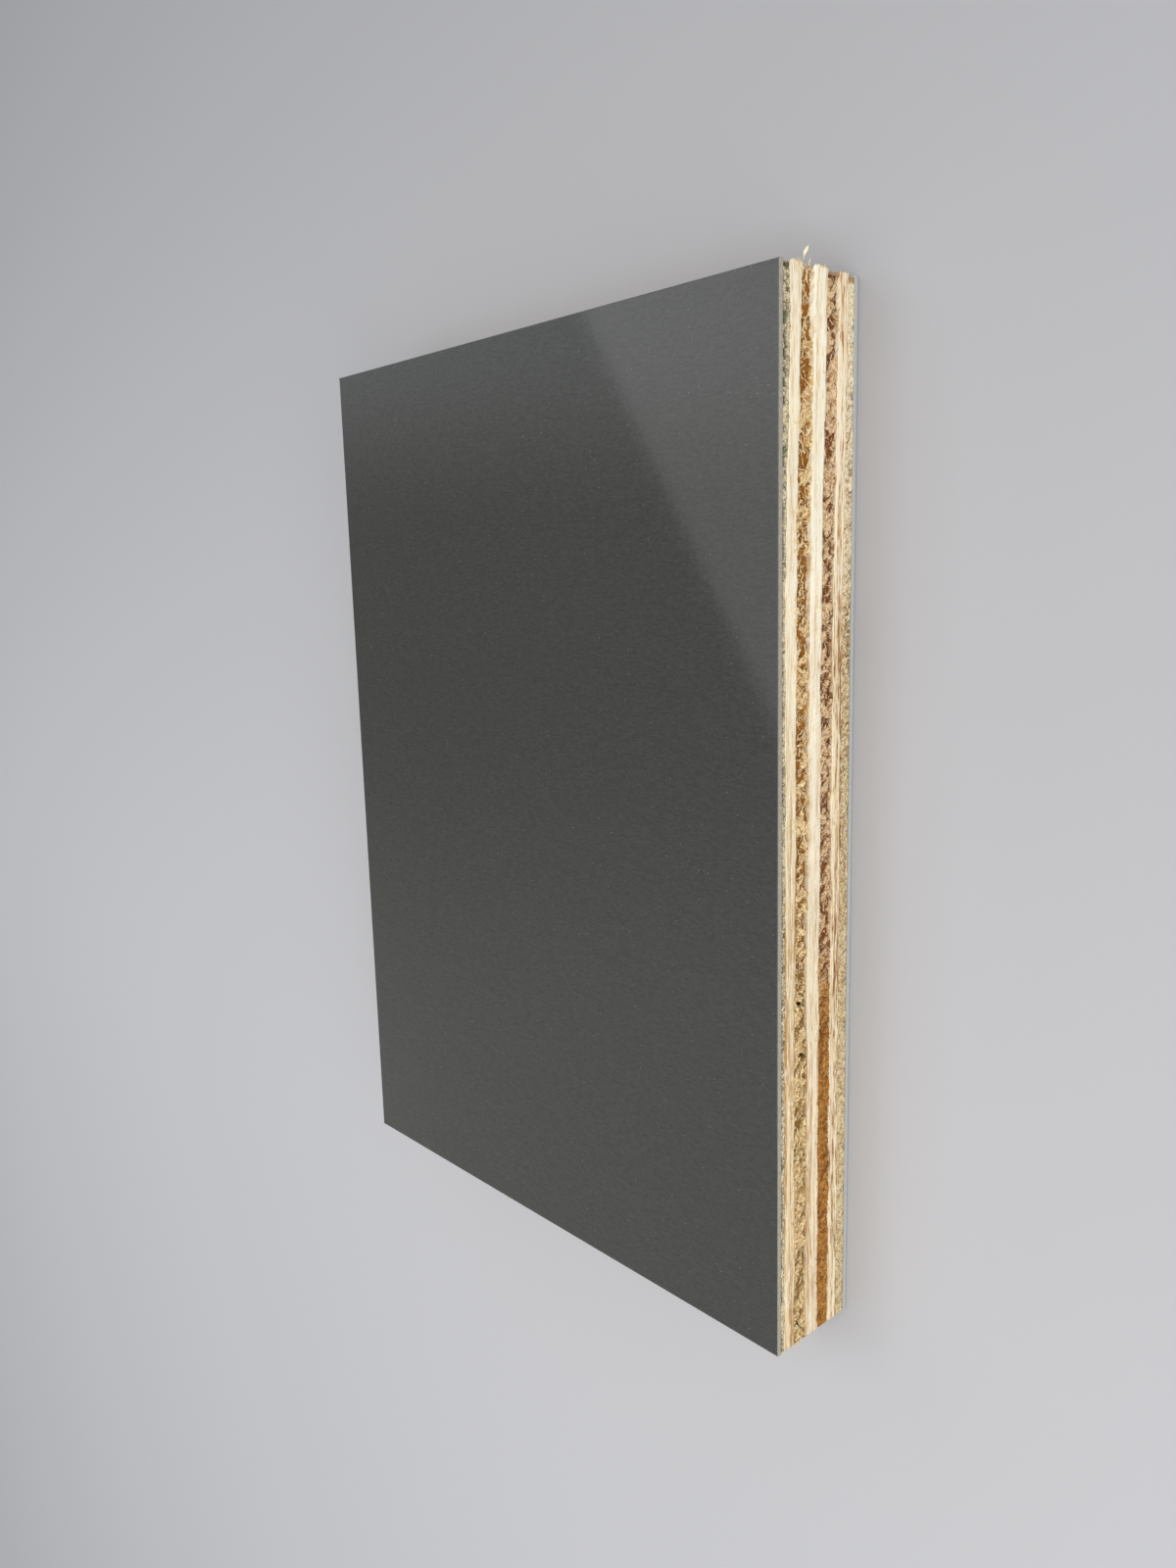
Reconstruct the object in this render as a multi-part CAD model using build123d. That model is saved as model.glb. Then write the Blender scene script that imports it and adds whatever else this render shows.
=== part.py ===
from build123d import *
import os

# A small plywood sheet with gloss facings, lying flat with its front face up.
# It is glued up from seven peeled veneers, the grain of each laid at right angles to
# the grain of the next, between two thin grey facings. Its four edges are sawn flush.
# X runs across the width, Y along the length and Z up through the thickness.
# The origin is the middle of the underside, which is the outside of the back facing.

# Sheet
length = 150.0
width = 105.0

# Facings
front_facing_thickness = 0.8
back_facing_thickness = 0.8
arris_radius = 0.15

# Veneers, counted from the front; odd ones have their grain across the width
veneer_1_thickness = 1.1
veneer_2_thickness = 2.2
veneer_3_thickness = 2.8
veneer_4_thickness = 2.6
veneer_5_thickness = 2.6
veneer_6_thickness = 2.0
veneer_7_thickness = 1.7

# The veneers in the order they are laid, from the back facing up to the front one
veneers = [
    ("veneer_7_grain_across", veneer_7_thickness),
    ("veneer_6_grain_along", veneer_6_thickness),
    ("veneer_5_grain_across", veneer_5_thickness),
    ("veneer_4_grain_along", veneer_4_thickness),
    ("veneer_3_grain_across", veneer_3_thickness),
    ("veneer_2_grain_along", veneer_2_thickness),
    ("veneer_1_grain_across", veneer_1_thickness),
]


def layer(underside, thickness):
    """One full-size layer of the sheet, with its lower face at the height underside."""
    on_its_lower_face = (Align.CENTER, Align.CENTER, Align.MIN)
    return Pos(0, 0, underside) * Box(width, length, thickness, align=on_its_lower_face)


def facing(underside, thickness, outer_face):
    """A facing whose four outer arrises are just broken, as a fine saw and a touch of paper leave them."""
    sheet = layer(underside, thickness)
    outer_edges = sheet.faces().sort_by(Axis.Z)[outer_face].edges()
    return fillet(outer_edges, min(arris_radius, 0.45 * thickness))


os.makedirs("parts", exist_ok=True)

lowest, highest = 0, -1
export_step(facing(0.0, back_facing_thickness, lowest), "parts/back_facing.step")

height = back_facing_thickness
for name, thickness in veneers:
    export_step(layer(height, thickness), f"parts/{name}.step")
    height += thickness

export_step(facing(height, front_facing_thickness, highest), "parts/front_facing.step")
print(f"sheet {width} x {length} x {height + front_facing_thickness:.1f} mm")
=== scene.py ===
# %% [markdown]
# A small plywood sheet with gloss facings
#
# The object is a square-sawn piece of thin-faced plywood, 150 mm by 105 mm and 16.6 mm thick.
# Seven peeled veneers are glued with their grain crossed, and a thin grey gloss facing closes
# each side. It lies flat, with its front facing up. Nearly all of its character is in two
# places: the calm, glossy facing and the rough, striped edge that the saw left.
# This file takes the construction as given and makes only those looks: first the view and the
# light, then the finishes, then the sawn edges as real relief, and last the two facings.

# %% The frame
from math import cos, pi, sin

import bmesh
import bpy
from mathutils import Matrix, Vector


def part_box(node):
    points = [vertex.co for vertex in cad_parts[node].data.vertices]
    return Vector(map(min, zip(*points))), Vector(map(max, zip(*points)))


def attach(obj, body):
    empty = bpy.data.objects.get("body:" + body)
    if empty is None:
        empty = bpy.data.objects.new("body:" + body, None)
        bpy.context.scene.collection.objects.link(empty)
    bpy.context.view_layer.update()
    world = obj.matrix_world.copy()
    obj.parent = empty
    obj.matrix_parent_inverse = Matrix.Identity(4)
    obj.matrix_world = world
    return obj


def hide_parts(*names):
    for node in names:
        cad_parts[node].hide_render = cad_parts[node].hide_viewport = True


def new_object(name, data):
    """An object of the given data, placed in the scene."""
    made = bpy.data.objects.new(name, data)
    bpy.context.scene.collection.objects.link(made)
    return made


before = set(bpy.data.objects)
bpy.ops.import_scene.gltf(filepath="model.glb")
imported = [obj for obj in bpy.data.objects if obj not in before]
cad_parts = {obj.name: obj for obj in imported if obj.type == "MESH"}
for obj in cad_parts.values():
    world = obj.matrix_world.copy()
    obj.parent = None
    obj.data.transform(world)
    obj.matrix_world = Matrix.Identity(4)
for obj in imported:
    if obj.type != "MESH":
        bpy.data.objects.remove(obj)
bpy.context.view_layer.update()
print("frame nodes:", ", ".join(sorted(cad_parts)))

# %% [markdown]
# The camera
#
# The sheet is seen close up, with a short lens, from above its long edge. A short lens near an
# object makes the near edge look much taller than the far one, so the lens and the distance
# have to be right together. The camera is given by where it stands, which way it looks and
# which way is up in the picture. Three directions at right angles make a rotation matrix,
# which is safer than three angles when the picture is rolled well away from upright.

# %% The camera
camera_place = Vector((0.15018, 0.03682, 0.13763))
camera_looks = Vector((-0.73452, -0.17263, -0.65626)).normalized()
picture_up = Vector((-0.11076, 0.98463, -0.13504))
lens_mm = 27.05
film_mm = 36.0


def turned(looks, up):
    """The rotation that points a camera or lamp along looks, with up towards its top."""
    right = looks.cross(up).normalized()
    upright = right.cross(looks)
    return Matrix((right, upright, -looks)).transposed().to_4x4()


camera_data = bpy.data.cameras.new("camera")
camera_data.sensor_fit = "VERTICAL"
camera_data.sensor_height = film_mm
camera_data.lens = lens_mm
camera_data.clip_start = 0.005
camera = new_object("camera", camera_data)
camera.matrix_world = Matrix.Translation(camera_place) @ turned(camera_looks, picture_up)
bpy.context.scene.camera = camera
print(f"camera {camera_place.length * 1000:.0f} mm from the sheet, lens {lens_mm} mm")

# %% [markdown]
# Wiring
#
# Both finishes and shapes are made as node trees here, and both kinds of tree know the same
# maths, noise and mixing nodes. A small helper that adds a node, types in plain values and
# links sockets keeps each recipe short enough to read as a recipe. It returns sockets, so one
# step can be written inside the next.

# %% A helper that wires nodes
class Wiring:
    """Adds nodes to one tree. A value that is a socket is linked, and any other is typed in."""

    def __init__(self, tree):
        self.tree = tree

    def add(self, kind, inputs=None, **settings):
        made = self.tree.nodes.new(kind)
        for name, value in settings.items():
            setattr(made, name, value)
        for socket, value in (inputs or {}).items():
            self.feed(made.inputs[socket], value)
        return made

    def result(self, kind, inputs=None, **settings):
        """Adds a node and gives its first output."""
        return self.add(kind, inputs, **settings).outputs[0]

    def feed(self, socket, value):
        if isinstance(value, bpy.types.NodeSocket):
            self.tree.links.new(value, socket)
        else:
            socket.default_value = value

    def math(self, operation, *values):
        return self.result("ShaderNodeMath", dict(enumerate(values)), operation=operation)

    def sum(self, first, *others):
        for other in others:
            first = self.math("ADD", first, other)
        return first

    def times(self, first, *others):
        for other in others:
            first = self.math("MULTIPLY", first, other)
        return first

    def less(self, first, second):
        return self.math("SUBTRACT", first, second)

    def part_way(self, share, first, second):
        """A number that goes from first to second as share goes from 0 to 1."""
        return self.sum(self.times(first, self.less(1.0, share)), self.times(second, share))

    def rise(self, value, start, end, low=0.0, high=1.0, kind="SMOOTHSTEP"):
        """A smooth step from low to high while value goes from start to end."""
        inputs = {"Value": value, "From Min": start, "From Max": end, "To Min": low, "To Max": high}
        return self.result("ShaderNodeMapRange", inputs, interpolation_type=kind)

    def vector(self, x, y, z):
        return self.result("ShaderNodeCombineXYZ", {"X": x, "Y": y, "Z": z})

    def split(self, vector):
        return self.add("ShaderNodeSeparateXYZ", {0: vector}).outputs

    def vectors(self, operation, first, second):
        return self.result("ShaderNodeVectorMath", {0: first, 1: second}, operation=operation)

    def stretch(self, vector, by):
        return self.vectors("MULTIPLY", vector, by)

    def scaled(self, vector, by):
        return self.result("ShaderNodeVectorMath", {0: vector, "Scale": by}, operation="SCALE")

    def noise(self, vector, by, seed=0.0, detail=2.0, roughness=0.5, distortion=0.0):
        """Noise from 0 to 1. Each axis of vector is multiplied by its number in by."""
        inputs = {
            "Vector": self.stretch(vector, by), "W": seed, "Scale": 1.0, "Detail": detail,
            "Roughness": roughness, "Distortion": distortion,
        }
        return self.result("ShaderNodeTexNoise", inputs, noise_dimensions="4D")

    def mix(self, share, first, second):
        """A colour that goes from first to second as share goes from 0 to 1."""
        mixer = self.add("ShaderNodeMix", {0: share, 6: first, 7: second}, data_type="RGBA")
        return mixer.outputs[2]


def new_tree(name, kind, inputs, outputs):
    """A node group, its wiring, what it is given and what it puts out. Sockets come by kind."""
    tree = bpy.data.node_groups.new(name, kind)
    for side, sockets in (("INPUT", inputs), ("OUTPUT", outputs)):
        for socket_kind, labels in sockets.items():
            for label in labels:
                tree.interface.new_socket(label, in_out=side, socket_type="NodeSocket" + socket_kind)
    wires = Wiring(tree)
    given = wires.add("NodeGroupInput").outputs
    puts_out = wires.add("NodeGroupOutput").inputs
    return tree, wires, given, puts_out


def new_material(name):
    """A plain material, its wiring and its shader."""
    material = bpy.data.materials.new(name)
    material.use_nodes = True
    return material, Wiring(material.node_tree), material.node_tree.nodes["Principled BSDF"]


def paint(red, green, blue, alpha=1.0):
    """A colour read off a colour card, from 0 to 255, as the linear light that shaders use."""
    def linear(level):
        level = level / 255
        return level / 12.92 if level <= 0.04045 else ((level + 0.055) / 1.055) ** 2.4
    return (linear(red), linear(green), linear(blue), alpha)


print("mid grey as light:", [round(level, 3) for level in paint(128, 128, 128)[:3]])

# %% [markdown]
# The floor and the light
#
# The sheet lies on a plain pale floor, whose colour is painted a little darker with distance:
# painted shade, for light that falls off beyond the sheet. A gloss facing is a mirror as much as
# a surface, so what it mirrors has to be planned: one large soft panel stands beyond the sheet,
# where the facing's right-hand part mirrors it, and the rest mirrors a room that is pale low down
# and dim above. A second panel overhead gives the plain level of light, and a third beside the
# camera lights the sawn edge. Area lights are used because they show in a mirror as soft panels do.

# %% The floor
floor_half_width = 2.5
# The far colour is painted shade: it darkens the floor with distance, as falling light would
floor_near = paint(184, 183, 185)
floor_painted_shade = paint(148, 147, 149)
painted_shade_from = -0.12
painted_shade_to = 0.30

floor_mesh = bpy.data.meshes.new("floor")
reach = floor_half_width
corners = [(-reach, -reach, 0.0), (reach, -reach, 0.0), (reach, reach, 0.0), (-reach, reach, 0.0)]
floor_mesh.from_pydata(corners, [], [(0, 1, 2, 3)])
floor = new_object("floor", floor_mesh)
floor_material, floor_wires, floor_shader = new_material("pale floor")
floor_y = floor_wires.split(floor_wires.add("ShaderNodeTexCoord").outputs["Object"])[1]
# Painted shade: the floor's colour goes from the near colour to a darker one further away
painted_shade_share = floor_wires.rise(floor_y, painted_shade_from, painted_shade_to)
floor_wires.feed(floor_shader.inputs["Base Color"], floor_wires.mix(painted_shade_share, floor_near, floor_painted_shade))
floor_shader.inputs["Roughness"].default_value = 0.85
floor_shader.inputs["Specular IOR Level"].default_value = 0.1
floor_mesh.materials.append(floor_material)
print("floor", 2 * floor_half_width, "m wide")

# %% The room
room_overhead = 0.10
room_low_down = 0.30
room_far_end = 0.58
room_near_end = 0.29
room_cool_tint = (0.93, 1.0, 1.07, 1.0)

world = bpy.data.worlds.new("soft room")
world.use_nodes = True
bpy.context.scene.world = world
room = Wiring(world.node_tree)
direction = room.split(room.add("ShaderNodeTexCoord").outputs["Generated"])
low_down = room.rise(direction[2], 0.55, 0.25, 0.0, room_low_down)
far_end = room.rise(direction[1], 0.04, 0.20, 0.0, room_far_end)
near_end = room.rise(direction[1], -0.08, -0.40, 0.0, room_near_end)
background = world.node_tree.nodes["Background"]
cool_share = room.rise(direction[1], 0.04, 0.20)
room.feed(background.inputs["Color"], room.mix(cool_share, paint(255, 255, 255), room_cool_tint))
room.feed(background.inputs["Strength"], room.sum(room_overhead, low_down, far_end, near_end))
print("room light from", room_overhead, "overhead to", room_overhead + room_far_end, "at the far end")


# %% The panels of light
def panel(name, place, looks, up, size, brightness):
    """A soft panel whose surface glows with the given brightness, where 1 is white."""
    data = bpy.data.lights.new(name, "AREA")
    data.shape = "RECTANGLE"
    data.size, data.size_y = size
    data.energy = brightness * pi * size[0] * size[1]
    lamp = new_object(name, data)
    lamp.matrix_world = Matrix.Translation(place) @ turned(Vector(looks).normalized(), Vector(up))
    print(f"{name}: {size[0]} x {size[1]} m, {data.energy:.2f} W")


panel("panel_in_the_gloss", (-0.2305, 0.1415, 0.521), (0.489, -0.048, -0.869),
      (0.342, -0.908, 0.243), (0.35, 0.47), 0.80)
panel("panel_overhead", (0.10, 0.0, 1.40), (-0.07, 0.0, -1.0), (0, 1, 0), (1.5, 1.5), 1.7)
panel("panel_at_the_edge", (0.68, -0.18, 0.42), (-0.85, 0.22, -0.46), (0, 0, 1), (0.8, 0.5), 2.75)

# %% [markdown]
# Sawn wood
#
# A veneer shows two different faces. Where the saw runs with the grain it leaves long pale
# fibres with fine tan dashes. Where it cuts across, it tears the fibre ends into small tufts
# that point every way, and opens brown pits between them. A plain stretched noise makes the
# first. The second needs a direction that changes from tuft to tuft: the face is divided into
# cells, each cell turns its own little coordinate system by its own angle, and a stretched
# noise is read in it. The same pattern is used twice, here for the colour and further down for
# the relief, and the finish reads the place on the cut that the relief stored on the mesh. So
# the dark gaps lie in the deep places with painted shade in them, the pits are darkened partly
# with painted shade too, and the raised tufts carry a pale colour that is partly a painted
# highlight. One node group serves all seven veneers.

# %% The pattern of torn fibre ends
MM_PER_METRE = 1000.0
LEAST_LEAN = 0.45
LEAN_RANGE = 2.2

# The saw's teeth: radians for each millimetre along the cut, and how far each mark leans
TOOTH_MARKS = 8.4
TOOTH_MARK_LEAN = 0.25


def in_millimetres(wires, vector):
    return wires.stretch(vector, (MM_PER_METRE,) * 3)


def tooth_marks(wires, along, up):
    """A wave from -1 to 1 for the fine marks that the saw's teeth leave."""
    leaning = wires.sum(along, wires.times(up, TOOTH_MARK_LEAN))
    return wires.math("SINE", wires.times(leaning, TOOTH_MARKS))


def torn_tufts(wires, place, tuft_size, seed):
    """From 0 in the gaps to 1 on the fibres, in tufts that each point their own way."""
    per_tuft = wires.math("DIVIDE", 1.0, tuft_size)
    place = wires.stretch(place, wires.vector(per_tuft, per_tuft, per_tuft))
    cells = wires.add("ShaderNodeTexVoronoi", {
        "Vector": place, "Scale": 1.0, "Randomness": 1.0}, voronoi_dimensions="3D").outputs
    along, up, _ = wires.split(wires.vectors("SUBTRACT", place, cells["Position"]))
    draw = wires.split(cells["Color"])
    angle = wires.sum(wires.times(draw[0], LEAN_RANGE), LEAST_LEAN)
    cosine, sine = wires.math("COSINE", angle), wires.math("SINE", angle)
    with_fibre = wires.sum(wires.times(along, cosine), wires.times(up, sine))
    beside_fibre = wires.less(wires.times(up, cosine), wires.times(along, sine))
    turned_place = wires.vector(with_fibre, beside_fibre, wires.times(draw[1], 40.0))
    return wires.noise(turned_place, (0.9, 6.0, 1.0), seed, detail=1.5, roughness=0.5)


# %% The sawn wood finish
DEEP_SHADE = paint(54, 36, 12)


def stored(wires, name, output="Fac"):
    """A number or a vector that the relief stored on the mesh."""
    return wires.add("ShaderNodeAttribute", attribute_name=name).outputs[output]


def make_sawn_wood():
    tree, wires, given, puts_out = new_tree(
        "sawn wood", "ShaderNodeTree",
        {"Color": ["Fibre", "Streak", "End", "Torn Fibre", "Pit", "Glue Gap Shade"],
         "Float": ["Dash Share", "Streak Share", "Tuft Size", "Gap Share", "Dot Share", "Seed"]},
        {"Color": ["Colour"], "Float": ["Roughness", "Height"]})
    place = stored(wires, "cut_place", "Vector")
    along, up, side = wires.split(place)
    seed = given["Seed"]

    # Long grain: broad tan streaks that wander a little, with fine lines and dashes among them
    wander = wires.times(wires.noise(place, (0.05, 0.1, 1.0), wires.sum(seed, 0.4), detail=1.0), 1.6)
    line_place = wires.vector(along, wires.sum(up, wander), side)
    broad = wires.noise(line_place, (0.025, 1.6, 1.0), wires.sum(seed, 3.1), detail=3.0)
    dash = wires.noise(line_place, (0.40, 4.6, 1.0), seed, detail=3.0, roughness=0.65)
    streak = wires.times(wires.rise(broad, 0.47, 0.66), given["Streak Share"])
    long_grain = wires.mix(streak, given["Fibre"], given["Streak"])
    line = wires.noise(line_place, (0.07, 4.2, 1.0), wires.sum(seed, 4.7), detail=2.0)
    lines = wires.times(wires.rise(line, 0.55, 0.63), given["Streak Share"])
    long_grain = wires.mix(lines, long_grain, given["Streak"])
    among_streaks = wires.sum(dash, wires.times(wires.less(broad, 0.5), 0.5))
    dark_dash = wires.times(wires.rise(among_streaks, 0.53, 0.63), given["Dash Share"])
    long_grain = wires.mix(dark_dash, long_grain, given["Pit"])
    pale_dash = wires.times(wires.rise(dash, 0.46, 0.38), 0.7)
    long_grain = wires.mix(pale_dash, long_grain, paint(254, 248, 230))

    # End grain: pale tufts, partly the paler torn fibre and partly a painted highlight on the raised
    # fibres; dark gaps between the fibres, painted shade in the deepest relief; and brown pits,
    # partly the wood's own darker colour and partly painted shade
    tuft = torn_tufts(wires, place, given["Tuft Size"], seed)
    # Painted highlight in part: the pale torn-fibre colour lies on the tufts that the relief leaves
    # standing
    end_grain = wires.mix(wires.rise(tuft, 0.48, 0.55), given["End"], given["Torn Fibre"])
    calmer_far_up = wires.rise(along, 25.0, 65.0, 1.0, 0.45)
    calmer_low_down = wires.rise(along, -22.0, -42.0, 1.0, 0.5)
    # Painted shade: the gaps between the fibres take the dark pit colour where the relief is deepest
    gap_shade = wires.times(wires.rise(tuft, 0.455, 0.385), given["Gap Share"], calmer_far_up, calmer_low_down)
    end_grain = wires.mix(gap_shade, end_grain, given["Pit"])
    speck = wires.noise(place, (4.5, 4.5, 1.0), wires.sum(seed, 5.3), detail=2.0, roughness=0.7)
    # The pits take the dark pit colour, partly the wood's own and partly painted shade in their hollows
    pit_and_shade = wires.sum(stored(wires, "pitted"), wires.times(wires.less(speck, 0.5), 0.6))
    end_grain = wires.mix(wires.rise(pit_and_shade, 0.15, 0.70), end_grain, given["Pit"])

    # Fine dots, dark and pale, and a painted deep shade in the open cracks
    dot = wires.noise(place, (1.7, 1.7, 1.0), wires.sum(seed, 6.6), detail=3.0, roughness=0.8)
    dark_dot = wires.times(wires.rise(dot, 0.51, 0.56), given["Dot Share"])
    end_grain = wires.mix(dark_dot, end_grain, given["Pit"])
    pale_dot = wires.times(wires.rise(dot, 0.46, 0.41), given["Dot Share"])
    end_grain = wires.mix(pale_dot, end_grain, given["Torn Fibre"])
    end_grain = wires.mix(wires.rise(stored(wires, "crack"), 0.62, 0.76), end_grain, DEEP_SHADE)

    colour = wires.mix(stored(wires, "end_grain"), long_grain, end_grain)
    # Painted shade in the hollows along the glue line under a facing, on top of their real depth
    colour = wires.mix(stored(wires, "glue_gap"), colour, given["Glue Gap Shade"])

    # Faint marks of the saw teeth, in patches, and a slow change of tone
    tooth = tooth_marks(wires, along, up)
    patch = wires.rise(wires.noise(place, (0.03, 0.05, 1.0), 2.2, detail=1.0), 0.45, 0.62)
    tone = wires.noise(place, (0.12, 0.4, 1.0), wires.sum(seed, 8.8), detail=2.0)
    shade = wires.sum(0.97, wires.times(tooth, patch, 0.02), wires.times(wires.less(tone, 0.5), 0.22))
    loose_fibre = wires.times(stored(wires, "strand"), 0.9)
    colour = wires.mix(loose_fibre, wires.scaled(colour, shade), given["Torn Fibre"])
    wires.feed(puts_out["Colour"], colour)
    wires.feed(puts_out["Roughness"], wires.rise(dash, 0.3, 0.7, 0.62, 0.85))
    relief = wires.part_way(stored(wires, "end_grain"), dash, wires.times(tuft, 2.0))
    wires.feed(puts_out["Height"], wires.sum(relief, wires.times(speck, 0.4)))
    return tree


sawn_wood = make_sawn_wood()
print("sawn wood group:", len(sawn_wood.nodes), "nodes")


# %% Each veneer's own wood
def wood_material(name, tuft_size, seed, upper, lower=None, change_at=-19.0, change_over=8.0,
                  dash_share=0.5, streak_share=0.6, gap_share=0.6, dot_share=0.2):
    """A veneer's finish from its colours. Those in lower take over past change_at, along the sheet."""
    material, wires, shader = new_material(name)
    inputs = {label: paint(*colour) for label, colour in upper.items()}
    if lower:
        place = in_millimetres(wires, wires.add("ShaderNodeTexCoord").outputs["Object"])
        wobble = wires.noise(place, (0.5, 0.2, 0.8), seed, detail=3.0)
        down_the_sheet = wires.sum(wires.split(place)[1], wires.times(wobble, 16.0), -8.0)
        share = wires.rise(down_the_sheet, change_at + change_over, change_at - change_over)
        for label, colour in lower.items():
            inputs[label] = wires.mix(share, inputs[label], paint(*colour))
    inputs.update({"Dash Share": dash_share, "Streak Share": streak_share, "Tuft Size": tuft_size,
                   "Gap Share": gap_share, "Dot Share": dot_share, "Seed": seed})
    wood = wires.add("ShaderNodeGroup", inputs, node_tree=sawn_wood).outputs
    bump = wires.add("ShaderNodeBump", {"Height": wood["Height"], "Distance": 0.00008, "Strength": 0.6})
    wires.feed(shader.inputs["Base Color"], wood["Colour"])
    wires.feed(shader.inputs["Roughness"], wood["Roughness"])
    wires.feed(shader.inputs["Normal"], bump.outputs["Normal"])
    shader.inputs["Specular IOR Level"].default_value = 0.25
    return material


# The last colour is painted shade for the glue-line hollows under a facing
def shades(fibre, streak, end, torn_fibre, pit, gap_shade=(122, 122, 102)):
    return {"Fibre": fibre, "Streak": streak, "End": end, "Torn Fibre": torn_fibre, "Pit": pit, "Glue Gap Shade": gap_shade}


# How long a tuft of torn fibres is in each veneer, for its finish and its relief alike
tuft_mm = {1: 0.8, 2: 1.0, 3: 1.8, 4: 1.0, 5: 1.25, 6: 1.0, 7: 0.8}

veneer_looks = {
    # Veneer 1's last colour is painted shade, for the hollows along the glue line under its facing
    1: dict(upper=shades(
        (226, 206, 168), (190, 158, 112), (206, 187, 148), (236, 220, 184), (108, 100, 72), (76, 80, 62)),
        gap_share=0.8, dot_share=0.6),
    2: dict(upper=shades(
        (248, 236, 208), (240, 222, 184), (226, 206, 164), (240, 226, 192), (214, 178, 128)),
        lower={"Fibre": (236, 216, 176), "Streak": (188, 144, 88), "Pit": (172, 128, 74)},
        change_at=14.0, change_over=30.0, dash_share=0.6, streak_share=0.9),
    3: dict(upper=shades(
        (222, 196, 150), (186, 148, 96), (206, 166, 104), (244, 222, 176), (148, 94, 22)),
        lower={"End": (192, 158, 102), "Pit": (136, 102, 46), "Torn Fibre": (238, 214, 166)},
        change_at=-15.0, change_over=20.0, gap_share=0.95),
    4: dict(upper=shades(
        (255, 247, 223), (246, 229, 192), (228, 208, 166), (242, 228, 194), (214, 176, 124)),
        lower={"Fibre": (238, 220, 186), "Streak": (208, 174, 126), "Pit": (186, 144, 90)},
        change_at=10.0, change_over=40.0, dash_share=0.65, streak_share=0.9),
    5: dict(upper=shades(
        (206, 164, 112), (160, 112, 62), (206, 168, 120), (236, 208, 168), (122, 70, 26)),
        lower={"End": (163, 108, 40), "Pit": (104, 56, 8), "Torn Fibre": (194, 140, 70)},
        gap_share=0.8, dot_share=0.4),
    6: dict(upper=shades(
        (252, 234, 200), (222, 190, 146), (216, 190, 148), (236, 216, 178), (176, 132, 84)),
        lower={"Fibre": (244, 224, 186), "Streak": (202, 164, 114), "Pit": (142, 98, 52)},
        change_at=32.0, change_over=14.0, dash_share=0.95, streak_share=0.75),
    7: dict(upper=shades(
        (228, 206, 164), (196, 160, 112), (242, 222, 186), (252, 238, 206), (176, 140, 94)),
        lower={"End": (210, 186, 140), "Torn Fibre": (236, 217, 176), "Pit": (146, 106, 60)},
        change_at=36.0, change_over=14.0, gap_share=0.75, dot_share=0.6),
}
veneer_woods = {
    number: wood_material(f"veneer {number} wood", tuft_mm[number], float(number), **looks)
    for number, looks in veneer_looks.items()
}
print("woods:", ", ".join(wood.name for wood in veneer_woods.values()))

# %% [markdown]
# Walking round the sheet
#
# Every layer is a thin slab with a detailed rim and plain hidden faces, and no face may be
# missing. A tall stack of thin cells is only needed on the rim. So each layer starts as a short
# round drum, whose side is already an even grid, and its round is laid onto the rectangle:
# the angle becomes the distance walked along the four sides. The drum's top and bottom each
# have one ring inside the rim and one middle point, which keeps them flat and cheap. This walk
# is a group of its own, because the veneers and the facings both start with it.

# %% The walk as a node group
RIM_TO_INNER_RING = 0.003


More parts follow.
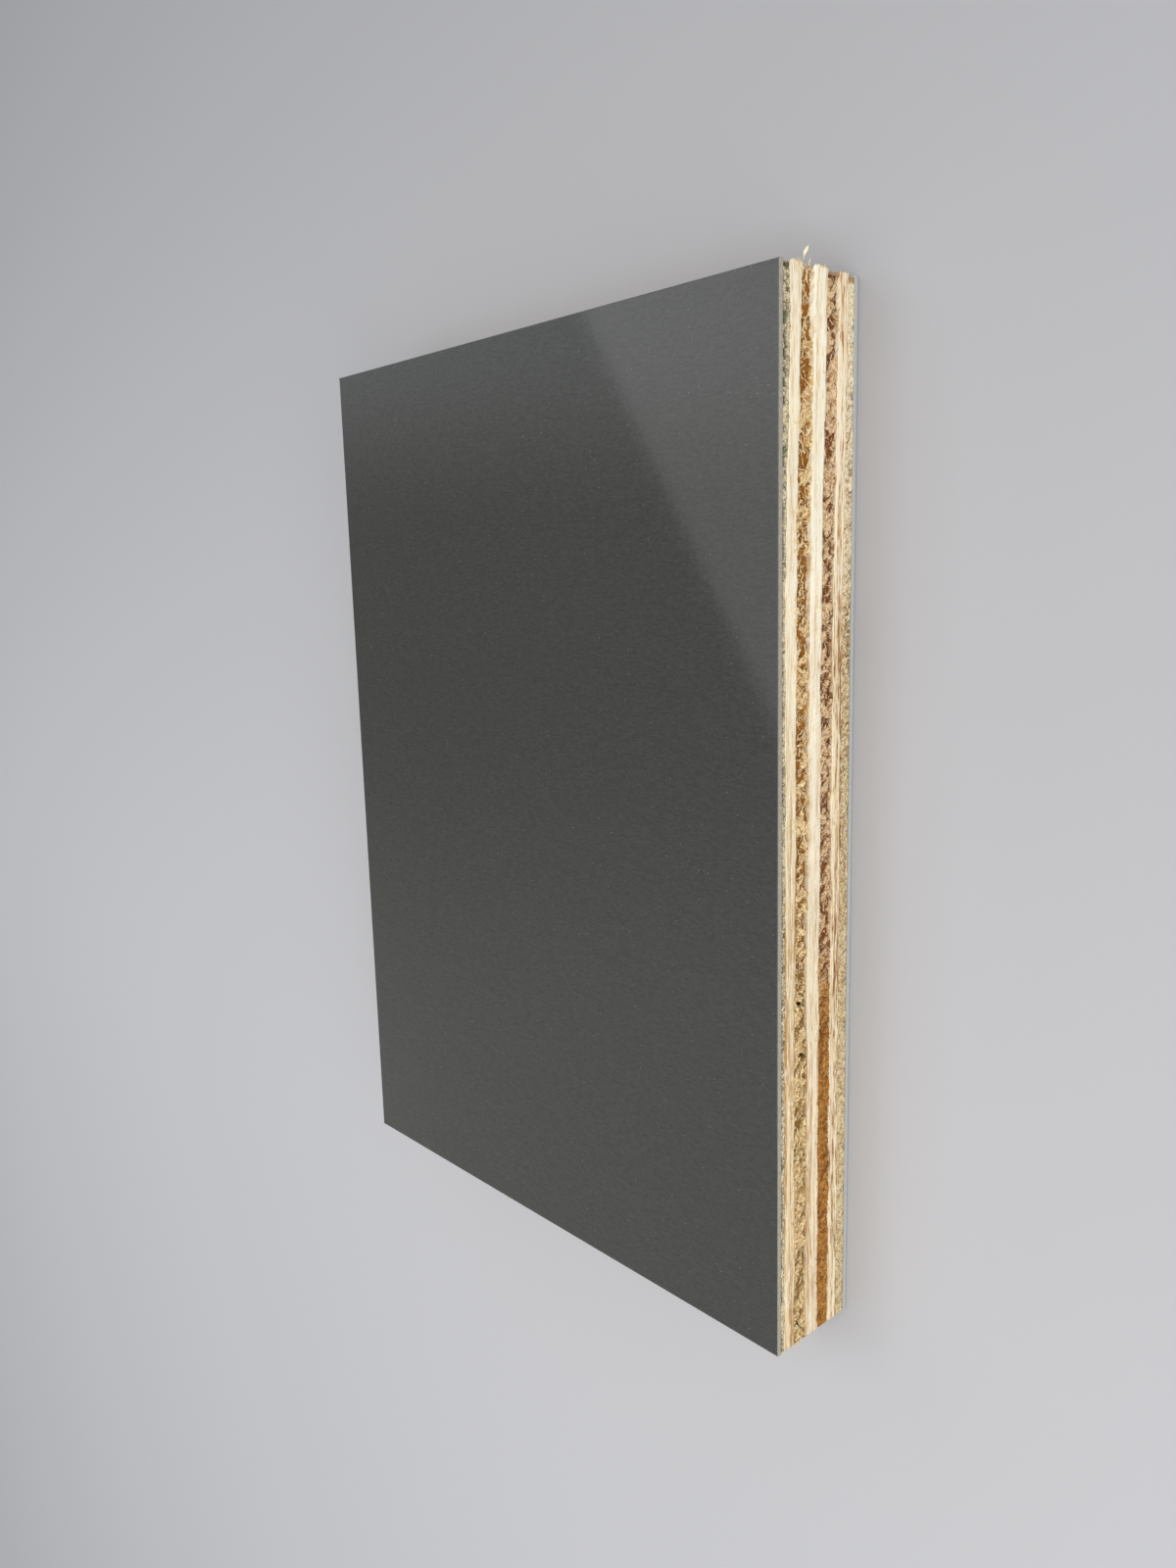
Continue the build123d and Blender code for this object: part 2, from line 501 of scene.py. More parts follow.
def make_edge_walk():
    tree, wires, given, puts_out = new_tree(
        "walk round the sheet", "GeometryNodeTree",
        {"Float": ["Width", "Length"]},
        {"Vector": ["Rectangle", "Outward", "Spread"],
         "Float": ["Along", "Side", "On Long Side", "Rim", "Rise"]})
    width, length = given["Width"], given["Length"]
    x, y, z = wires.split(wires.result("GeometryNodeInputPosition"))
    turn = wires.math("FRACT", wires.sum(wires.times(wires.math("ARCTAN2", y, x), 0.5 / pi), 1.0))
    walked = wires.times(turn, wires.times(wires.sum(width, length), 2.0))

    def gone(start, most):
        """How much of one side has been walked, from nothing to most."""
        return wires.math("MINIMUM", wires.math("MAXIMUM", wires.less(walked, start), 0.0), most)

    up_the_right = gone(0.0, length)
    over_the_top = gone(length, width)
    down_the_left = gone(wires.sum(length, width), length)
    back_along_the_bottom = gone(wires.sum(length, width, length), width)
    half_width, half_length = wires.times(width, 0.5), wires.times(length, 0.5)
    side_x = wires.sum(wires.less(half_width, over_the_top), back_along_the_bottom)
    side_y = wires.less(wires.less(up_the_right, half_length), down_the_left)

    # A corner point belongs to both of its sides
    close = 0.000001
    on_long = wires.math("GREATER_THAN", wires.math("ABSOLUTE", side_x), wires.less(half_width, close))
    on_short = wires.math("GREATER_THAN", wires.math("ABSOLUTE", side_y), wires.less(half_length, close))
    out_x = wires.times(on_long, wires.math("SIGN", side_x))
    out_y = wires.times(on_short, wires.math("SIGN", side_y))

    # How far out the drum's point is: the middle, the inner ring or the rim
    from_middle = wires.math("SQRT", wires.sum(wires.times(x, x), wires.times(y, y)))
    rim = wires.math("GREATER_THAN", from_middle, 0.75)
    ring = wires.less(wires.math("GREATER_THAN", from_middle, 0.25), rim)
    inset = 2.0 * RIM_TO_INNER_RING
    spread_x = wires.sum(rim, wires.times(ring, wires.less(1.0, wires.math("DIVIDE", inset, width))))
    spread_y = wires.sum(rim, wires.times(ring, wires.less(1.0, wires.math("DIVIDE", inset, length))))

    wires.feed(puts_out["Rectangle"], wires.vector(side_x, side_y, 0.0))
    wires.feed(puts_out["Outward"], wires.vector(out_x, out_y, 0.0))
    wires.feed(puts_out["Along"], wires.part_way(on_long, side_x, side_y))
    wires.feed(puts_out["Side"], wires.part_way(on_long, side_y, side_x))
    wires.feed(puts_out["On Long Side"], on_long)
    wires.feed(puts_out["Rim"], rim)
    wires.feed(puts_out["Spread"], wires.vector(spread_x, spread_y, 1.0))
    wires.feed(puts_out["Rise"], wires.sum(z, 0.5))
    return tree


edge_walk = make_edge_walk()


def drum(wires, around, rows):
    """A closed drum of radius 1 and height 1, with an even grid round its side."""
    inputs = {"Vertices": around, "Side Segments": rows, "Fill Segments": 2, "Radius": 1.0, "Depth": 1.0}
    return wires.add("GeometryNodeMeshCylinder", inputs, fill_type="TRIANGLE_FAN").outputs


def store(wires, geometry, name, value, kind="FLOAT"):
    """Keeps a number or a vector on every point, for the finish to read."""
    inputs = {"Geometry": geometry, "Name": name, "Value": value}
    return wires.result("GeometryNodeStoreNamedAttribute", inputs, data_type=kind, domain="POINT")


def read_back(wires, name, kind="FLOAT"):
    """What an earlier step of the same tree kept on the points."""
    return wires.result("GeometryNodeInputNamedAttribute", {"Name": name}, data_type=kind)


def into_place(wires, geometry, walk, depth, height):
    """Lays the drum onto the rectangle, depth inwards from the sawn face, at the given height."""
    on_sheet = wires.stretch(walk["Rectangle"], walk["Spread"])
    inward = wires.scaled(walk["Outward"], wires.times(depth, -1.0))
    flat = wires.vectors("ADD", on_sheet, inward)
    place = wires.vectors("ADD", flat, wires.vector(0.0, 0.0, height))
    return wires.result("GeometryNodeSetPosition", {"Geometry": geometry, "Position": place})


print("edge walk group:", len(edge_walk.nodes), "nodes")

# %% [markdown]
# The sawn veneers
#
# A glue line is never quite straight: the veneers are soft and of uneven thickness, so each
# line wanders a few tenths of a millimetre. Both neighbours read the same noise at the same
# place, so they still meet exactly. The saw leaves two kinds of relief. With the grain it makes
# shallow grooves that follow the fibres. Across the grain it tears: a rough field with groups
# of deeper pits that lean, because the knife that peeled the veneer cracked it at a slant. In
# veneer 3 a few of these cracks are open and deep, and the finish paints a near-black shade
# into them as well. Loose ends of fibre stand out of the torn parts. Each is a thin bent sliver
# with a few faces, scattered by the tree with a fixed seed and realized into the same mesh.

# %% The sawn veneer tree
FIBRE_WARP = 0.0008
TOOTH_MARK_DEPTH = 0.002
GLUE_GAP_DEPTH = 0.30

# Where the knife had cracked veneer 3 open, on the +X side: the place along the sheet and up it,
# half the length, half the width and the lean. All but the lean are in millimetres
CRACK_DEPTH = 1.4
CRACKS = (
    ((-22.9, 11.1), 1.4, 0.32, 1.25),
    ((-21.4, 11.2), 0.8, 0.13, 1.00),
    ((-30.6, 10.9), 1.2, 0.34, 1.50),
    ((-72.9, 10.9), 2.0, 0.24, 0.66),
)


def make_fibre(wires):
    """One loose fibre end: a thin sliver that tapers and bends."""
    inputs = {"Vertices": 3, "Side Segments": 3, "Fill Segments": 1,
              "Radius Top": 0.3, "Radius Bottom": 1.0, "Depth": 1.0}
    sliver = wires.add("GeometryNodeMeshCone", inputs).outputs["Mesh"]
    up = wires.split(wires.result("GeometryNodeInputPosition"))[2]
    bend = wires.vector(wires.times(up, up, 2.4), 0.0, 0.0)
    bent = wires.result("GeometryNodeSetPosition", {"Geometry": sliver, "Offset": bend})
    return store(wires, bent, "strand", 1.0)


def random_between(wires, low, high, seed):
    return wires.add("FunctionNodeRandomValue", {2: low, 3: high, "Seed": seed}).outputs[1]


def scatter_fibres(wires, given, veneer, on_rim):
    """Fibre ends over the torn faces, leaning either way in the plane of the cut."""
    outward = read_back(wires, "outward", "FLOAT_VECTOR")
    no_crack = wires.math("LESS_THAN", read_back(wires, "crack"), 0.05)
    torn = wires.math("GREATER_THAN", wires.times(read_back(wires, "end_grain"), no_crack), 0.5)
    torn_rim = wires.result("FunctionNodeBooleanMath", {0: on_rim, 1: torn})
    points = wires.result("GeometryNodeDistributePointsOnFaces", {
        "Mesh": veneer, "Selection": torn_rim, "Density": given["Fibres"], "Seed": given["Draw"]})
    tangent = wires.vectors("CROSS_PRODUCT", (0.0, 0.0, 1.0), outward)
    angle = random_between(wires, 0.25, 2.3, 11)
    tilt = random_between(wires, 0.02, 0.42, 12)
    tx, ty, _ = wires.split(tangent)
    ox, oy, _ = wires.split(outward)
    cosine, sine = wires.math("COSINE", angle), wires.math("SINE", angle)
    heading = wires.vector(
        wires.sum(wires.times(tx, cosine), wires.times(ox, tilt)),
        wires.sum(wires.times(ty, cosine), wires.times(oy, tilt)),
        sine)
    rotation = wires.result("FunctionNodeAlignRotationToVector", {"Vector": heading}, axis="Z")
    thickness = wires.times(given["Fibre Radius"], random_between(wires, 0.5, 1.2, 13))
    longness = wires.times(given["Fibre Length"], random_between(wires, 0.35, 1.0, 14))
    scale = wires.vector(thickness, thickness, longness)
    fibres = wires.result("GeometryNodeInstanceOnPoints", {
        "Points": points, "Instance": make_fibre(wires), "Rotation": rotation, "Scale": scale})
    loose = wires.result("GeometryNodeRealizeInstances", {"Geometry": fibres})

    # No two fibres bend alike, so a noise in space pushes the realized slivers about a little
    here = in_millimetres(wires, wires.result("GeometryNodeInputPosition"))
    push = wires.add("ShaderNodeTexNoise", {"Vector": here, "Scale": 1.3, "Detail": 1.0}).outputs[1]
    push = wires.stretch(wires.vectors("SUBTRACT", push, (0.5, 0.5, 0.5)), (FIBRE_WARP,) * 3)
    return wires.result("GeometryNodeSetPosition", {"Geometry": loose, "Offset": push})


def make_veneer_tree():
    tree, wires, given, puts_out = new_tree(
        "sawn veneer", "GeometryNodeTree",
        {"Float": ["Width", "Length", "Underside", "Topside", "Lower Line", "Upper Line",
                   "Lower Wander", "Upper Wander", "Grain Across", "Groove Depth", "Tear Depth",
                   "Tuft Size", "Pit Depth", "Pit Size", "Pit Start", "Slant", "Calm Share",
                   "Cracks", "Facing Above", "Gap Share", "Fibres", "Fibre Length",
                   "Fibre Radius", "Seed", "Finish Seed"],
         "Int": ["Around", "Rows", "Draw"], "Material": ["Wood"]},
        {"Geometry": ["Veneer"]})
    walk = wires.add("GeometryNodeGroup", {"Width": given["Width"], "Length": given["Length"]},
                     node_tree=edge_walk).outputs
    body = drum(wires, given["Around"], given["Rows"])
    seed = given["Seed"]

    # The wandering glue lines, and a slow sag of them all towards one end of the sheet
    in_mm = in_millimetres(wires, walk["Rectangle"])
    y_mm = wires.split(in_mm)[1]
    sag = wires.rise(y_mm, 30.0, 75.0, 0.28, -0.40)

    def glue_line(nominal, number, wander):
        line_seed = wires.times(number, 7.3)

        def waver(scale, detail, amplitude):
            field = wires.noise(in_mm, (scale, scale, 1.0), line_seed, detail=detail)
            return wires.times(wires.less(field, 0.5), amplitude)

        drift = wires.sum(sag, waver(0.035, 1.0, 0.6), waver(0.14, 1.0, 0.8), waver(0.7, 3.0, 0.6))
        return wires.sum(nominal, wires.times(drift, wander, walk["Rim"]))

    lower = glue_line(given["Underside"], given["Lower Line"], given["Lower Wander"])
    upper = glue_line(given["Topside"], given["Upper Line"], given["Upper Wander"])
    height = wires.part_way(walk["Rise"], lower, upper)

    # The relief, in millimetres into the wood
    along = wires.times(walk["Along"], MM_PER_METRE)
    side = wires.times(walk["Side"], MM_PER_METRE)
    height_mm = wires.times(height, MM_PER_METRE)
    place = wires.vector(along, height_mm, side)
    slanted = wires.vector(wires.sum(along, wires.times(height_mm, given["Slant"])), height_mm, side)

    tuft = torn_tufts(wires, place, given["Tuft Size"], given["Finish Seed"])
    rough = wires.noise(slanted, (1.5, 1.2, 1.0), seed, detail=2.0, roughness=0.6)
    torn = wires.times(wires.sum(wires.rise(tuft, 0.60, 0.35), rough), given["Tear Depth"])
    crowd = wires.noise(place, (0.10, 0.3, 1.0), wires.sum(seed, 1.7), detail=1.0)
    pit_scale = wires.math("DIVIDE", 1.0, given["Pit Size"])
    pit_place = wires.stretch(slanted, wires.vector(pit_scale, pit_scale, 1.0))
    pit_noise = wires.noise(pit_place, (1.0, 0.8, 1.0), wires.sum(seed, 2.9), detail=2.0,
                            distortion=0.7)
    more_up_the_sheet = wires.rise(y_mm, -45.0, -15.0, -0.02, 0.02)
    crowded = wires.sum(pit_noise, wires.times(wires.less(crowd, 0.5), 0.35), more_up_the_sheet)
    calm = wires.times(wires.rise(y_mm, -10.0, -26.0), given["Calm Share"])
    pitted = wires.rise(crowded, given["Pit Start"], wires.sum(given["Pit Start"], 0.11))
    pitted = wires.times(pitted, wires.less(1.0, calm))
    broken_corner = wires.rise(wires.sum(y_mm, rough), 73.9, 75.2, 0.0, 0.8)
    pitted = wires.math("MINIMUM", wires.sum(pitted, broken_corner), 1.0)
    torn = wires.times(torn, wires.less(1.0, calm))
    across_depth = wires.sum(torn, wires.times(pitted, given["Pit Depth"]), 0.02)

    # The open cracks: 1 in the middle of one, two thirds at its rim and 0 well away from it
    ragged = wires.times(wires.less(rough, 0.5), 0.16)
    nearest = 9.0
    for (at_along, at_up), half_length, half_width, lean in CRACKS:
        from_along = wires.less(along, at_along)
        from_up = wires.less(height_mm, at_up)
        lengthwise = wires.sum(wires.times(from_along, cos(lean)), wires.times(from_up, sin(lean)))
        crosswise = wires.less(wires.times(from_up, cos(lean)), wires.times(from_along, sin(lean)))
        long_share = wires.math("POWER", wires.times(lengthwise, 1.0 / half_length), 2.0)
        crosswise = wires.times(wires.sum(crosswise, ragged), 1.0 / half_width)
        wide_share = wires.math("POWER", crosswise, 2.0)
        nearest = wires.math("MINIMUM", nearest, wires.sum(long_share, wide_share))
    on_right = wires.math("GREATER_THAN", side, 0.0)
    crack = wires.times(wires.rise(nearest, 3.0, 0.0, kind="LINEAR"), on_right, walk["On Long Side"],
                        given["Cracks"])
    crack_depth = wires.rise(crack, 0.67, 0.83, 0.0, CRACK_DEPTH)

    # At the far end the saw left the veneers a little out of line: those with their grain along
    # the sheet stand out, and those with it across have broken back
    at_far_end = wires.math("GREATER_THAN", wires.split(walk["Outward"])[1], 0.5)
    out_of_line = wires.part_way(given["Grain Across"], -0.24, 0.14)
    stagger = wires.times(at_far_end, out_of_line, wires.sum(rough, 0.5))

    # Hollows along the glue line under a facing, where the thin outer veneer broke away
    to_facing = wires.part_way(given["Facing Above"], wires.less(1.0, walk["Rise"]), walk["Rise"])
    gap_noise = wires.noise(place, (0.75, 1.5, 1.0), wires.sum(seed, 9.2), detail=3.0, roughness=0.65)
    glue_gap = wires.times(wires.rise(gap_noise, 0.480, 0.538), wires.rise(to_facing, 0.10, 0.55),
                           wires.part_way(walk["On Long Side"], 0.4, 1.0), given["Gap Share"])

    fine = wires.noise(place, (0.14, 5.0, 1.0), wires.sum(seed, 4.1), detail=2.0)
    wide = wires.noise(place, (0.07, 0.8, 1.0), wires.sum(seed, 5.6), detail=1.0)
    split_noise = wires.noise(place, (0.16, 2.2, 1.0), wires.sum(seed, 6.4), detail=1.0)
    splits = wires.rise(split_noise, 0.64, 0.74)
    with_depth = wires.times(wires.sum(fine, wide, wires.times(splits, 2.2)), given["Groove Depth"])

    torn_share = wires.part_way(
        given["Grain Across"], wires.less(1.0, walk["On Long Side"]), walk["On Long Side"])
    saw_marks = wires.times(wires.sum(tooth_marks(wires, along, height_mm), 1.0), TOOTH_MARK_DEPTH)
    gap_depth = wires.times(glue_gap, GLUE_GAP_DEPTH)
    depth_mm = wires.sum(wires.part_way(torn_share, with_depth, across_depth), saw_marks, gap_depth,
                         crack_depth, stagger)
    depth = wires.times(depth_mm, walk["Rim"], 1.0 / MM_PER_METRE)

    veneer = store(wires, body["Mesh"], "crack", crack)
    veneer = store(wires, veneer, "pitted", pitted)
    veneer = store(wires, veneer, "end_grain", torn_share)
    # The finish paints shade into the glue-line hollows by this share
    veneer = store(wires, veneer, "glue_gap", glue_gap)
    veneer = store(wires, veneer, "cut_place", place, "FLOAT_VECTOR")
    veneer = store(wires, veneer, "outward", walk["Outward"], "FLOAT_VECTOR")
    veneer = into_place(wires, veneer, walk, depth, height)
    veneer = wires.result("GeometryNodeSetShadeSmooth", {
        "Geometry": veneer, "Selection": body["Side"], "Shade Smooth": True})

    fibres = scatter_fibres(wires, given, veneer, body["Side"])
    joined = wires.add("GeometryNodeJoinGeometry")
    wires.feed(joined.inputs[0], fibres)
    wires.feed(joined.inputs[0], veneer)
    realized = wires.result("GeometryNodeRealizeInstances", {"Geometry": joined.outputs[0]})
    finished = wires.result("GeometryNodeSetMaterial", {
        "Geometry": realized, "Material": given["Wood"]})
    wires.feed(puts_out["Veneer"], finished)
    return tree


veneer_tree = make_veneer_tree()
print("sawn veneer tree:", len(veneer_tree.nodes), "nodes")


# %% From a tree to a plain mesh
def grow(name, tree, values):
    """Runs a tree with the given values and keeps its result as a plain mesh object."""
    maker = new_object("maker", bpy.data.meshes.new("maker"))
    modifier = maker.modifiers.new("tree", "NODES")
    modifier.node_group = tree
    for socket in tree.interface.items_tree:
        if socket.item_type == "SOCKET" and socket.in_out == "INPUT":
            modifier[socket.identifier] = values[socket.name]
    depsgraph = bpy.context.evaluated_depsgraph_get()
    result = bpy.data.meshes.new_from_object(
        maker.evaluated_get(depsgraph), preserve_all_data_layers=True, depsgraph=depsgraph)
    maker.modifiers.remove(modifier)
    bpy.data.objects.remove(maker)
    result.name = name
    result.calc_loop_triangles()
    print(f"{name}: {len(result.loop_triangles)} triangles")
    return new_object(name, result)


# %% The seven veneers
CELL = 0.00015
ROW = 0.0002
FIBRES_PER_SQUARE_METRE = 1.0e6
LINE_WANDERS = 1.0 / MM_PER_METRE
PIT_SLANT = 0.6

low_corner, high_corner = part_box("veneer_1_grain_across")
sheet_width = high_corner[0] - low_corner[0]
sheet_length = high_corner[1] - low_corner[1]
cells_around = round(2 * (sheet_width + sheet_length) / CELL)

# How each veneer took the saw. Tears, pits and fibres are in millimetres. A lower start makes
# more pits, and fibres are counted for each square millimetre
how_torn = {
    1: dict(tear=0.10, pit=0.20, size=0.7, start=0.60, fibres=1.5, fibre_mm=0.5),
    2: dict(tear=0.12, pit=0.35, size=0.8, start=0.58, fibres=1.5, fibre_mm=0.8),
    3: dict(tear=0.22, pit=0.60, size=2.4, start=0.448, fibres=2.5, fibre_mm=1.7),
    4: dict(tear=0.12, pit=0.35, size=0.8, start=0.58, fibres=1.5, fibre_mm=0.8),
    5: dict(tear=0.16, pit=0.55, size=1.3, start=0.475, fibres=2.2, fibre_mm=1.2),
    6: dict(tear=0.12, pit=0.30, size=0.7, start=0.58, fibres=1.2, fibre_mm=0.7),
    7: dict(tear=0.10, pit=0.20, size=0.5, start=0.58, fibres=1.5, fibre_mm=0.5),
}
gap_share = {1: 1.0, 7: 0.12}
calm_share = {3: 0.3, 5: 0.5}
fibre_radius_mm = {3: 0.12, 5: 0.09}
groove_mm = {1: 0.05, 2: 0.05, 3: 0.07, 4: 0.04, 5: 0.07, 6: 0.07, 7: 0.06}

for number in range(1, 8):
    grain_across = number % 2 == 1
    node = f"veneer_{number}_grain_{'across' if grain_across else 'along'}"
    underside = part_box(node)[0][2]
    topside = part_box(node)[1][2]
    torn = how_torn[number]
    veneer = grow(node + "_sawn", veneer_tree, {
        "Width": sheet_width, "Length": sheet_length, "Underside": underside, "Topside": topside,
        "Around": cells_around, "Rows": round((topside - underside) / ROW),
        "Lower Line": float(number + 1), "Upper Line": float(number),
        "Lower Wander": 0.0 if number == 7 else LINE_WANDERS,
        "Upper Wander": 0.0 if number == 1 else LINE_WANDERS,
        "Grain Across": float(grain_across), "Groove Depth": groove_mm[number],
        "Tear Depth": torn["tear"], "Tuft Size": tuft_mm[number], "Pit Depth": torn["pit"],
        "Pit Size": torn["size"], "Pit Start": torn["start"], "Slant": PIT_SLANT,
        "Calm Share": calm_share.get(number, 0.0), "Cracks": float(number == 3),
        "Facing Above": float(number == 1), "Gap Share": gap_share.get(number, 0.0),
        "Fibres": torn["fibres"] * FIBRES_PER_SQUARE_METRE,
        "Fibre Length": torn["fibre_mm"] / MM_PER_METRE,
        "Fibre Radius": fibre_radius_mm.get(number, 0.07) / MM_PER_METRE, "Seed": number * 10.0,
        "Finish Seed": float(number), "Draw": number, "Wood": veneer_woods[number],
    })
    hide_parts(node)
    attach(veneer, "root")

# %% [markdown]
# A splinter
#
# One flake of the second veneer still stands up from the far end, where the saw came out. It is
# a single thing with a shape of its own, so a few cross-sections along a short curve are enough:
# a thin stem that opens into a flat, pale flake and closes again at the tip.

# %% The splinter
SPLINTER_SECTIONS = 9
SPLINTER_SIDES = 6
splinter_root = Vector((52.35, 74.3, 11.85)) / MM_PER_METRE
splinter_tip = Vector((52.65, 77.2, 10.95)) / MM_PER_METRE
stem_half_width = 0.00004
flake_half_width = 0.00030
splinter_half_thickness = 0.00005

splinter_points = []
for section in range(SPLINTER_SECTIONS):
    way = section / (SPLINTER_SECTIONS - 1)
    middle = splinter_root.lerp(splinter_tip, way) + Vector((0.0, 0.0, 0.0003 * sin(pi * way)))
    opening = max(0.0, sin(pi * (way - 0.55) / 0.45))
    half_width = (stem_half_width + flake_half_width * opening) * (1.0 - 0.8 * way ** 6)
    for corner in range(SPLINTER_SIDES):
        angle = 2 * pi * corner / SPLINTER_SIDES
        across = Vector((0.75 * cos(angle), 0.0, -0.66 * cos(angle))) * half_width
        outwards = Vector((0.66, 0.0, 0.75)) * splinter_half_thickness * sin(angle)
        splinter_points.append(middle + across + outwards)
splinter_faces = [tuple(reversed(range(SPLINTER_SIDES)))]
for section in range(SPLINTER_SECTIONS - 1):
    for corner in range(SPLINTER_SIDES):
        near = section * SPLINTER_SIDES + corner
        beside = section * SPLINTER_SIDES + (corner + 1) % SPLINTER_SIDES
        splinter_faces.append((near, beside, beside + SPLINTER_SIDES, near + SPLINTER_SIDES))
last = (SPLINTER_SECTIONS - 1) * SPLINTER_SIDES
splinter_faces.append(tuple(range(last, last + SPLINTER_SIDES)))

splinter_mesh = bpy.data.meshes.new("end_splinter")
splinter_mesh.from_pydata(splinter_points, [], splinter_faces)
shell = bmesh.new()
shell.from_mesh(splinter_mesh)
bmesh.ops.recalc_face_normals(shell, faces=shell.faces)
shell.to_mesh(splinter_mesh)
shell.free()
splinter_mesh.shade_smooth()
cut_place = splinter_mesh.attributes.new("cut_place", "FLOAT_VECTOR", "POINT")
for point, spot in zip(splinter_mesh.vertices, cut_place.data):
    spot.vector = point.co.yzx * MM_PER_METRE
paleness = splinter_mesh.attributes.new("strand", "FLOAT", "POINT")
for spot in paleness.data:
    spot.value = 1.0
splinter_mesh.materials.append(veneer_woods[2])
splinter = new_object("end_splinter", splinter_mesh)
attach(splinter, "root")
print("splinter", round((splinter_tip - splinter_root).length * MM_PER_METRE, 2), "mm long")

# %% [markdown]
# The facings
#
# Each facing is a hard, thin skin of glossy grey coating. Its broad face is flat and almost a
# mirror, with the faint ripple of a moulded coating and a few pale specks in it. Its sawn edge
# is dull and paler, and the sharp corner between them is just broken and here and there
# chipped. The same walk round the sheet makes it, with the rows crowded towards the outer face
# so that the rounded corner is truly round.

# %% The gloss facing's finish
def facing_material():
    material, wires, shader = new_material("grey gloss facing")
    place = in_millimetres(wires, wires.add("ShaderNodeTexCoord").outputs["Object"])
    mottle = wires.noise(place, (2.6, 2.6, 2.6), 1.0, detail=3.0, roughness=0.7)
    drawn_out = wires.noise(place, (0.9, 3.4, 1.0), 3.0, detail=2.0, roughness=0.6)
    mottle = wires.part_way(0.5, mottle, drawn_out)
    face_colour = wires.mix(wires.rise(mottle, 0.38, 0.62), paint(58, 58, 55), paint(67, 67, 64))
    spots = wires.add("ShaderNodeTexVoronoi", {"Vector": place, "Scale": 1.1}, voronoi_dimensions="3D")
    is_spot = wires.rise(spots.outputs["Distance"], 0.10, 0.05)
    rare = wires.math("GREATER_THAN", wires.split(spots.outputs["Color"])[0], 0.72)
    face_colour = wires.mix(wires.times(is_spot, rare, 0.55), face_colour, paint(150, 152, 148))

    # The cut edge is paler, and that of the back facing cooler as well
    cut_grain = wires.noise(place, (2.5, 2.5, 5.0), 4.0, detail=3.0, roughness=0.7)
    cut_colour = wires.mix(wires.rise(cut_grain, 0.35, 0.65), paint(146, 141, 126), paint(178, 172, 156))
    underneath = wires.rise(wires.split(place)[2], 3.0, 1.0)
    cut_colour = wires.mix(wires.times(underneath, 0.6), cut_colour, paint(190, 194, 196))
    cut = stored(wires, "cut")
    ripple = wires.noise(place, (1.1, 1.1, 1.1), 8.0, detail=1.0)
    wires.feed(shader.inputs["Base Color"], wires.mix(cut, face_colour, cut_colour))
    sheen = wires.rise(mottle, 0.3, 0.7, 0.055, 0.085)
    wires.feed(shader.inputs["Roughness"], wires.part_way(cut, sheen, 0.6))
    bump_inputs = {"Height": ripple, "Distance": 0.0000025, "Strength": 1.0}
    wires.feed(shader.inputs["Normal"], wires.add("ShaderNodeBump", bump_inputs).outputs["Normal"])
    return material


gloss_facing = facing_material()
print("facing finish:", len(gloss_facing.node_tree.nodes), "nodes")


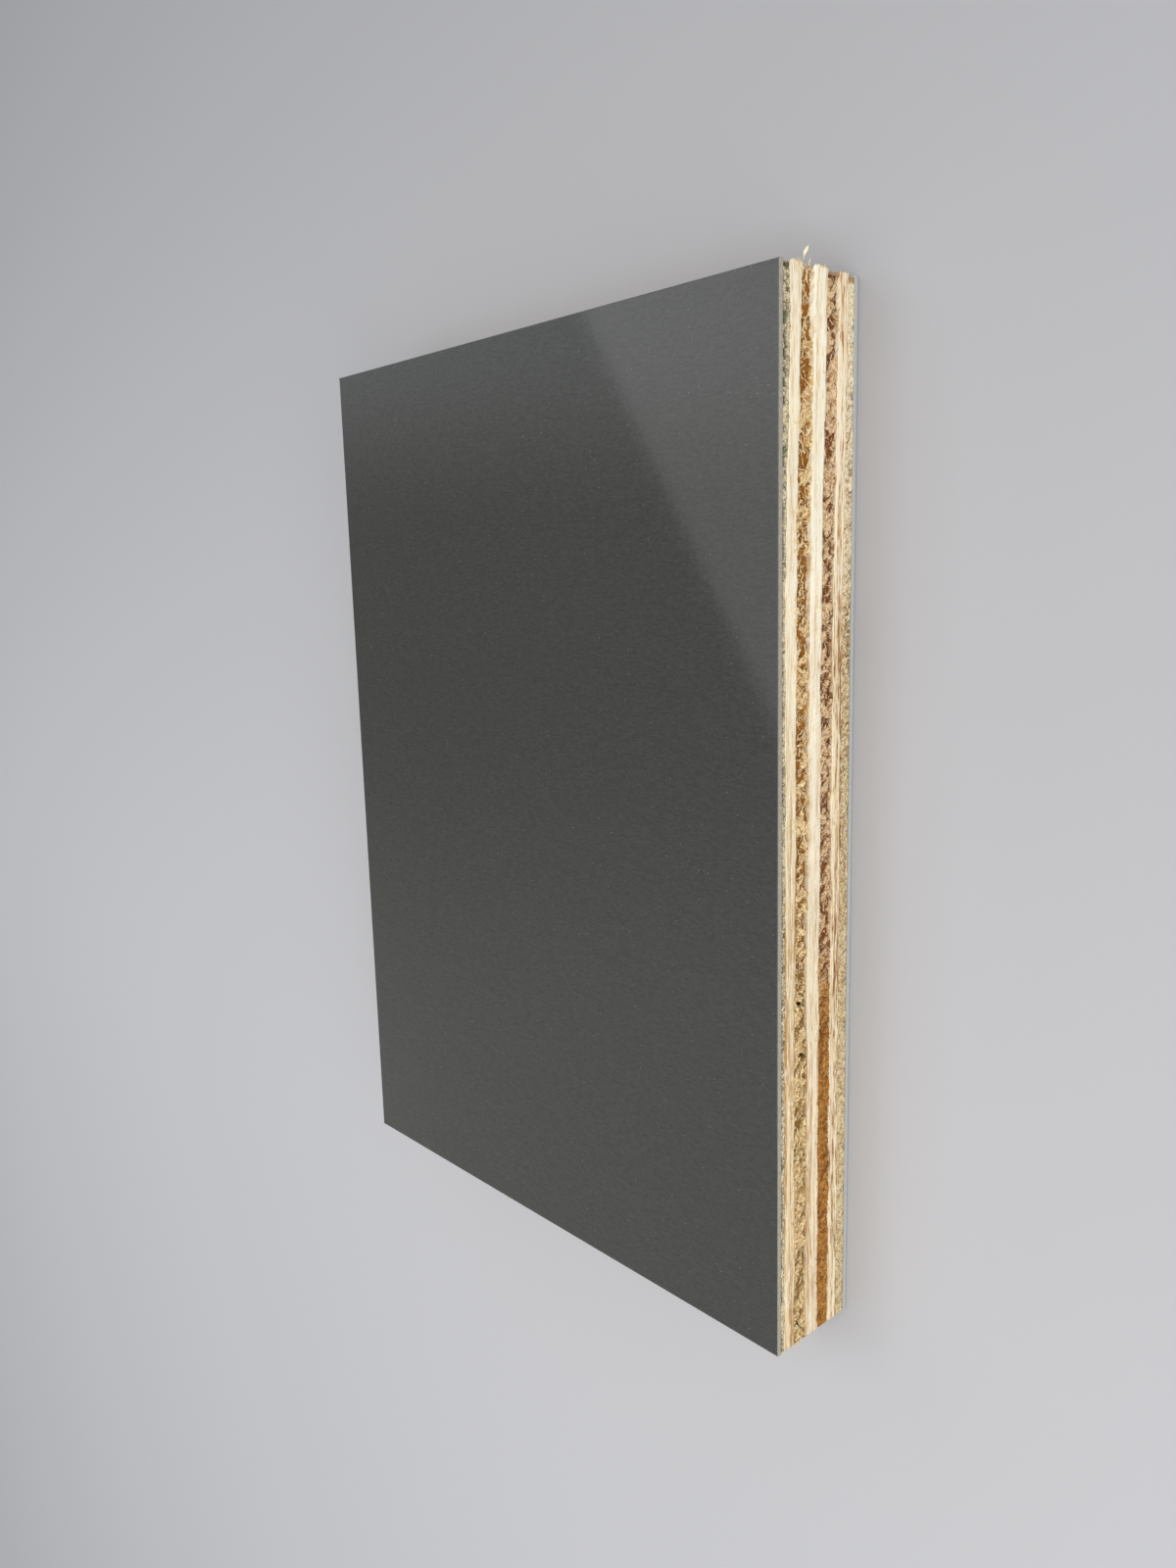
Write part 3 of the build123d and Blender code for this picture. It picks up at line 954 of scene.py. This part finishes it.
# %% The facing tree
def make_facing_tree():
    tree, wires, given, puts_out = new_tree(
        "gloss facing", "GeometryNodeTree",
        {"Float": ["Width", "Length", "Inner Height", "Outer Height", "Arris", "Chips", "Seed"],
         "Int": ["Around", "Rows"], "Material": ["Coating"]},
        {"Geometry": ["Facing"]})
    walk = wires.add("GeometryNodeGroup", {"Width": given["Width"], "Length": given["Length"]},
                     node_tree=edge_walk).outputs
    body = drum(wires, given["Around"], given["Rows"])
    facing_thickness = wires.math("ABSOLUTE", wires.less(given["Outer Height"], given["Inner Height"]))
    faces_up = wires.math("GREATER_THAN", given["Outer Height"], given["Inner Height"])
    to_outer = wires.part_way(faces_up, wires.less(1.0, walk["Rise"]), walk["Rise"])
    crowded = wires.less(1.0, wires.math("POWER", wires.less(1.0, to_outer), 1.6))
    height = wires.part_way(crowded, given["Inner Height"], given["Outer Height"])

    # The rounded corner: a quarter circle that ends flush with the outer face
    below_face = wires.times(wires.less(1.0, crowded), facing_thickness)
    up_the_round = wires.rise(below_face, given["Arris"], 0.0, kind="LINEAR")
    straight = wires.less(1.0, wires.times(up_the_round, up_the_round))
    rounding = wires.times(given["Arris"], wires.less(1.0, wires.math("SQRT", straight)))

    along = wires.times(walk["Along"], MM_PER_METRE)
    side = wires.times(walk["Side"], MM_PER_METRE)
    place = wires.vector(along, wires.times(height, MM_PER_METRE), side)
    chip_noise = wires.noise(place, (1.4, 0.6, 1.0), given["Seed"], detail=3.0, roughness=0.7)
    chip = wires.times(wires.rise(chip_noise, 0.62, 0.74), up_the_round, given["Chips"])
    rough = wires.times(wires.noise(place, (1.8, 3.0, 1.0), given["Seed"], detail=2.0), 0.00003)
    depth = wires.times(wires.sum(rounding, chip, rough), walk["Rim"])

    below_round = wires.rise(up_the_round, 0.75, 0.25)
    facing = store(wires, body["Mesh"], "cut", wires.times(walk["Rim"], below_round))
    facing = into_place(wires, facing, walk, depth, height)
    facing = wires.result("GeometryNodeSetShadeSmooth", {
        "Geometry": facing, "Selection": body["Side"], "Shade Smooth": True})
    realized = wires.result("GeometryNodeRealizeInstances", {"Geometry": facing})
    finished = wires.result("GeometryNodeSetMaterial", {
        "Geometry": realized, "Material": given["Coating"]})
    wires.feed(puts_out["Facing"], finished)
    return tree


facing_tree = make_facing_tree()

# %% The two facings
FACING_CELL = 0.0003
FACING_ROWS = 10
ARRIS_RADIUS = 0.00015
CHIP_DEPTH = 0.00012

for node, outer in (("front_facing", 1), ("back_facing", 0)):
    low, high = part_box(node)
    heights = (low[2], high[2])
    facing = grow(node + "_gloss", facing_tree, {
        "Width": high[0] - low[0], "Length": high[1] - low[1],
        "Inner Height": heights[1 - outer], "Outer Height": heights[outer],
        "Arris": ARRIS_RADIUS, "Chips": CHIP_DEPTH,
        "Around": round(2 * (sheet_width + sheet_length) / FACING_CELL), "Rows": FACING_ROWS,
        "Seed": 60.0 + outer, "Coating": gloss_facing,
    })
    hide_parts(node)
    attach(facing, "root")

# %% The finished sheet
scene = bpy.context.scene
scene.view_settings.view_transform = "Standard"
